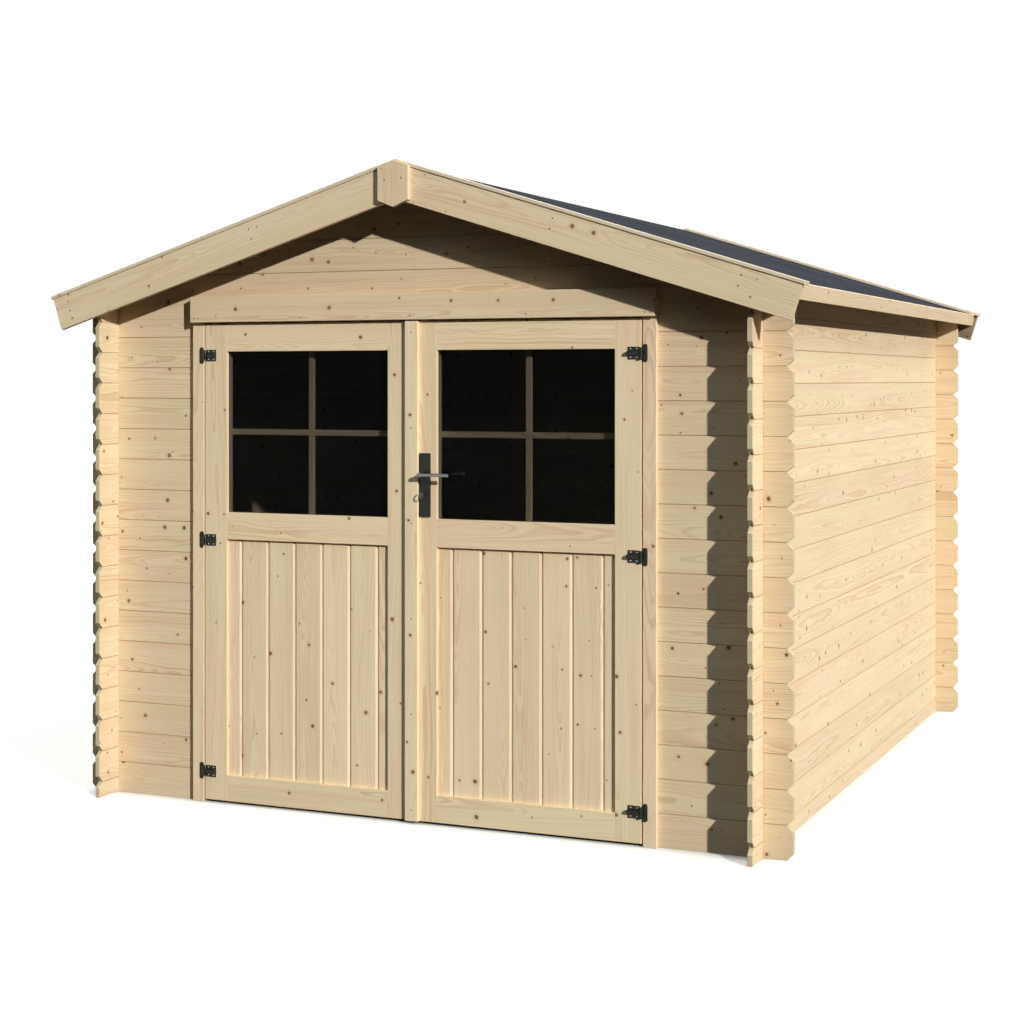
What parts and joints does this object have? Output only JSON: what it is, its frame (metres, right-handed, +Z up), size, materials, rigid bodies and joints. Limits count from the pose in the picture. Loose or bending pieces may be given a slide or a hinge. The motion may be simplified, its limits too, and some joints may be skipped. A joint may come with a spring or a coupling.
{
  "type": "wooden garden shed",
  "caption": "Garden shed of interlocking wall boards with a low pitched felt roof and half-glazed double doors",
  "frame": {"origin": "centre of the plan at ground level, where the wall boards rest", "axes": "+Z up, the doors face -Y, +X to the right as seen from the front"},
  "size_m": [2.8776, 3.308, 2.3112],
  "materials": {
    "wall_boards": "planed, untreated",
    "planed_trim": "planed, untreated",
    "door_wood": "planed, untreated",
    "roof_timber": "sawn",
    "roof_felt": "mineral grit",
    "window_glass": "clear",
    "black_metal": "satin black",
    "bright_metal": "polished"
  },
  "bodies": {
    "root": {"front_wall_left": "wall_boards", "front_wall_right": "wall_boards", "front_gable": "wall_boards", "rear_wall": "wall_boards", "left_wall": "wall_boards", "right_wall": "wall_boards", "ridge_purlin": "roof_timber", "side_purlins": "roof_timber", "roof_deck_left": "roof_timber", "roof_deck_right": "roof_timber", "roof_felt_left": "roof_felt", "roof_felt_right": "roof_felt", "front_verge_left": "planed_trim", "front_verge_right": "planed_trim", "rear_verge_left": "planed_trim", "rear_verge_right": "planed_trim", "front_verge_cap_left": "planed_trim", "front_verge_cap_right": "planed_trim", "rear_verge_cap_left": "planed_trim", "rear_verge_cap_right": "planed_trim", "eave_board_left": "planed_trim", "eave_board_right": "planed_trim", "front_finial": "planed_trim", "rear_finial": "planed_trim", "door_post_left": "door_wood", "door_post_right": "door_wood", "door_head": "door_wood", "lintel_board": "planed_trim", "left_hinge_frames": "black_metal", "right_hinge_frames": "black_metal"},
    "left_door": {"left_door_stiles": "door_wood", "left_door_rails": "door_wood", "left_door_panel": "door_wood", "left_door_glass": "window_glass", "left_hinge_leaves": "black_metal"},
    "right_door": {"right_door_stiles": "door_wood", "right_door_rails": "door_wood", "right_door_panel": "door_wood", "right_door_glass": "window_glass", "right_hinge_leaves": "black_metal", "cover_strip": "planed_trim", "handle_plates": "black_metal", "key": "bright_metal"},
    "handle": {"handle_lever": "bright_metal"}
  },
  "joints": [
    {"name": "left_door_swing", "type": "hinge", "parent": "root", "child": "left_door", "pos_m": [-0.851, -1.511, 0.964], "axis": [0, 0, -1], "range_deg": [0, 160]},
    {"name": "right_door_swing", "type": "hinge", "parent": "root", "child": "right_door", "pos_m": [0.851, -1.511, 0.964], "axis": [0, 0, 1], "range_deg": [0, 160]},
    {"name": "handle_turn", "type": "hinge", "parent": "right_door", "child": "handle", "pos_m": [0.0515, -1.503, 1.222], "axis": [0, 1, 0], "range_deg": [0, 40], "stiffness_Nm_per_rad": 5, "springref_deg": -17.19}
  ]
}
